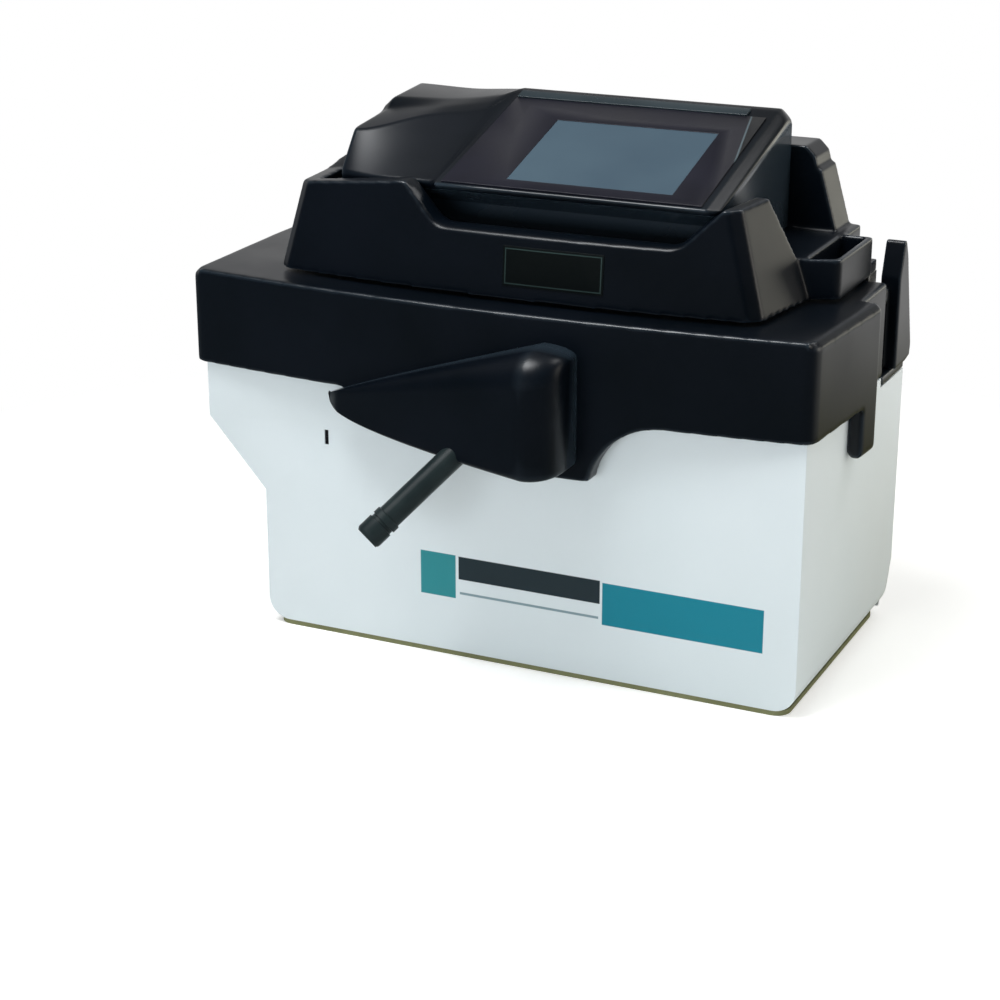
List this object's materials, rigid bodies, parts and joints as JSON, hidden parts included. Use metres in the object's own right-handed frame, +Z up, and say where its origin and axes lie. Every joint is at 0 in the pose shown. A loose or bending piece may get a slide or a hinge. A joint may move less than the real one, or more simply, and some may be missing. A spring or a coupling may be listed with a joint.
{
  "type": "analytical lab mill",
  "caption": "Bench cryogenic grinding mill: hinged lid with tilted touch screen, a vial coil that dips into an insulated tub, front vent tube and stepped housing.",
  "frame": {"origin": "on the bench under the middle of the whole mill", "axes": "+X to the mill's right as its user faces it, +Y to its back, +Z up"},
  "size_m": [0.528, 0.357, 0.4192],
  "materials": {
    "white_housing": "moulded, light satin",
    "lamp_lens": "dark lens",
    "coated_steel": "powder coat",
    "rubber_foot": "moulded",
    "black_socket": "moulded",
    "black_rocker": "moulded",
    "black_moulding": "fine moulded grain, satin",
    "vent_hose": "extruded",
    "stainless_steel": "brushed",
    "white_foam": "closed-cell foam",
    "gasket_rubber": "moulded",
    "metal_box": "sheet",
    "capacitor_can": "sleeved can",
    "circuit_board": "solder mask",
    "bezel_panel": "printed film, satin",
    "screen_glass": "matt touch glass",
    "grey_trim": "painted",
    "label_film": "printed film",
    "coil_former": "glass-filled tube",
    "copper_winding": "enamelled wire"
  },
  "bodies": {
    "base": {"housing_shell": "white_housing", "status_lamp": "lamp_lens", "base_plate": "coated_steel", "foot_front_left": "rubber_foot", "foot_front_right": "rubber_foot", "foot_rear_left": "rubber_foot", "foot_rear_right": "rubber_foot", "rear_panel": "coated_steel", "power_inlet": "black_socket", "switch_frame": "black_socket", "fuse_holder": "black_socket", "deck": "black_moulding", "rear_cover": "black_moulding", "nose_cover": "black_moulding", "vent_tube": "vent_hose", "vent_sleeve": "vent_hose", "tub_liner": "stainless_steel", "tub_insulation": "white_foam", "tub_gasket": "gasket_rubber", "level_sensor": "stainless_steel", "hinge_post_left": "black_moulding", "hinge_post_right": "black_moulding", "hinge_pin_left": "stainless_steel", "hinge_pin_right": "stainless_steel", "power_supply": "metal_box", "capacitor_bank": "capacitor_can", "control_board": "circuit_board"},
    "lid": {"lid_shell": "black_moulding", "hinge_arm_left": "stainless_steel", "hinge_arm_right": "stainless_steel", "lid_insulation": "white_foam", "console_housing": "black_moulding", "display_bezel": "bezel_panel", "touch_screen": "screen_glass", "display_board": "circuit_board", "panel_trim": "grey_trim", "label_plate": "label_film", "coil_former": "coil_former", "coil_winding": "copper_winding", "coil_plate_left": "stainless_steel", "coil_plate_right": "stainless_steel", "tie_rod_front": "stainless_steel", "tie_rod_rear": "stainless_steel", "latch_pin": "stainless_steel"},
    "latch": {"vial_latch": "stainless_steel"},
    "rocker": {"rocker_switch": "black_rocker"}
  },
  "joints": [
    {"name": "lid_hinge", "type": "hinge", "parent": "base", "child": "lid", "pos_m": [0, 0.12622, 0.276], "axis": [-1, 0, 0], "range_deg": [0, 95]},
    {"name": "vial_latch", "type": "hinge", "parent": "lid", "child": "latch", "pos_m": [0.0785, 0.06322, 0.219], "axis": [1, 0, 0], "range_deg": [0, 90]},
    {"name": "power_switch", "type": "hinge", "parent": "base", "child": "rocker", "pos_m": [0.12, 0.16597, 0.08109], "axis": [1, 0, 0], "range_deg": [0, 20]}
  ]
}
